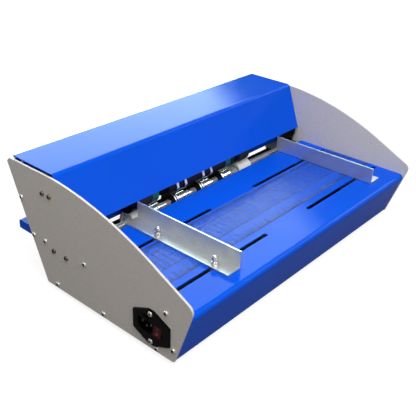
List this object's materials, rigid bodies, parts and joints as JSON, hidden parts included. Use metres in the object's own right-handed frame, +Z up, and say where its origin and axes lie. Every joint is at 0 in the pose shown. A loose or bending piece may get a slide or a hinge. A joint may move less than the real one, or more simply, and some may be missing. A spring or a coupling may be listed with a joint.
{
  "type": "desktop paper creasing machine",
  "caption": "Motor-driven desktop creaser and perforator: feed table with ruler and sliding paper guides, creasing and perforating rollers under a hinged sheet-metal cover, rear tray.",
  "frame": {"origin": "middle of the footprint, on the surface that the rubber feet stand on", "axes": "+X along the rollers to the right of the operator, +Y from the operator to the delivery side, +Z up"},
  "size_m": [0.5149, 0.3262, 0.175],
  "materials": {
    "blue_paint": "gloss",
    "grey_paint": "satin",
    "black_paint": "satin",
    "zinc_screw": "satin",
    "black_bolt": "satin",
    "steel": "satin",
    "chrome_shaft": "polished",
    "spring_steel": "satin",
    "aluminium": "satin",
    "clear_acrylic": "gloss",
    "white_nylon": "matte",
    "black_rubber": "matte",
    "green_urethane": "satin",
    "brown_phenolic": "matte",
    "dark_steel": "satin",
    "black_plastic": "satin",
    "red_plastic": "gloss",
    "brass": "polished"
  },
  "bodies": {
    "frame": {"left_side_plate": "grey_paint", "right_side_plate": "grey_paint", "plate_screws": "zinc_screw", "dark_bolts": "black_bolt", "feed_table": "blue_paint", "table_ruler": "clear_acrylic", "delivery_tray": "blue_paint", "base_pan": "black_paint", "rear_panel": "blue_paint", "crossbar": "steel", "cover_bumpers": "black_rubber", "hold_down_fingers": "spring_steel", "hinge_frame_leaf": "steel", "hinge_pin": "steel", "right_bearing_block": "dark_steel", "left_bearing_block": "dark_steel", "drive_belt": "black_rubber", "gear_motor": "dark_steel", "motor_bracket": "steel", "power_inlet": "black_plastic", "inlet_pins": "brass", "inlet_screws": "zinc_screw", "rubber_feet": "black_rubber"},
    "cover": {"top_cover": "blue_paint", "hinge_cover_leaf": "steel"},
    "left_guide": {"left_guide_angle": "aluminium", "left_guide_studs": "zinc_screw", "left_guide_nuts": "zinc_screw", "left_guide_clamps": "zinc_screw"},
    "right_guide": {"right_guide_angle": "aluminium", "right_guide_studs": "zinc_screw", "right_guide_nuts": "zinc_screw", "right_guide_clamps": "zinc_screw"},
    "lower_roller": {"lower_shaft": "chrome_shaft", "left_feed_roller": "white_nylon", "right_feed_roller": "white_nylon", "left_crease_die": "dark_steel", "right_crease_die": "dark_steel", "left_perf_anvil": "dark_steel", "right_perf_anvil": "dark_steel", "tool_collars": "steel", "lower_gear": "dark_steel", "shaft_pulley": "aluminium"},
    "upper_roller": {"upper_shaft": "chrome_shaft", "left_press_hub": "black_plastic", "right_press_hub": "black_plastic", "left_press_tyre": "black_rubber", "right_press_tyre": "black_rubber", "left_crease_wheel": "steel", "right_crease_wheel": "steel", "left_perf_wheel": "steel", "right_perf_wheel": "steel", "left_backing_ring": "green_urethane", "right_backing_ring": "green_urethane", "tool_sleeves": "brown_phenolic", "upper_gear": "dark_steel"},
    "motor_rotor": {"motor_shaft": "steel", "motor_pulley": "aluminium"},
    "rocker": {"rocker_switch": "red_plastic"},
    "fuse": {"fuse_drawer": "black_plastic"}
  },
  "joints": [
    {"name": "cover_hinge", "type": "hinge", "parent": "frame", "child": "cover", "pos_m": [0, 0.1583, 0.1705], "axis": [-1, 0, 0], "range_deg": [0, 100]},
    {"name": "left_guide_slide", "type": "slide", "parent": "frame", "child": "left_guide", "axis": [1, 0, 0], "range_m": [-0.086, 0.1]},
    {"name": "right_guide_slide", "type": "slide", "parent": "frame", "child": "right_guide", "axis": [1, 0, 0], "range_m": [-0.149, 0.041]},
    {"name": "lower_shaft_spin", "type": "hinge", "parent": "frame", "child": "lower_roller", "pos_m": [0, 0.0656, 0.064], "axis": [1, 0, 0], "continuous": true},
    {"name": "upper_shaft_spin", "type": "hinge", "parent": "frame", "child": "upper_roller", "pos_m": [0, 0.0656, 0.098], "axis": [1, 0, 0], "continuous": true},
    {"name": "motor_spin", "type": "hinge", "parent": "frame", "child": "motor_rotor", "pos_m": [0, 0.0013, 0.043], "axis": [1, 0, 0], "continuous": true},
    {"name": "rocker_tilt", "type": "hinge", "parent": "frame", "child": "rocker", "pos_m": [-0.25205, -0.1127, 0.041], "axis": [0, -1, 0], "range_deg": [0, 18]},
    {"name": "fuse_slide", "type": "slide", "parent": "frame", "child": "fuse", "axis": [-1, 0, 0], "range_m": [0, 0.01]}
  ],
  "couplings": [
    {"joint": "upper_shaft_spin", "follows": "lower_shaft_spin", "ratio": -1},
    {"joint": "motor_spin", "follows": "lower_shaft_spin", "ratio": 1.4444}
  ]
}
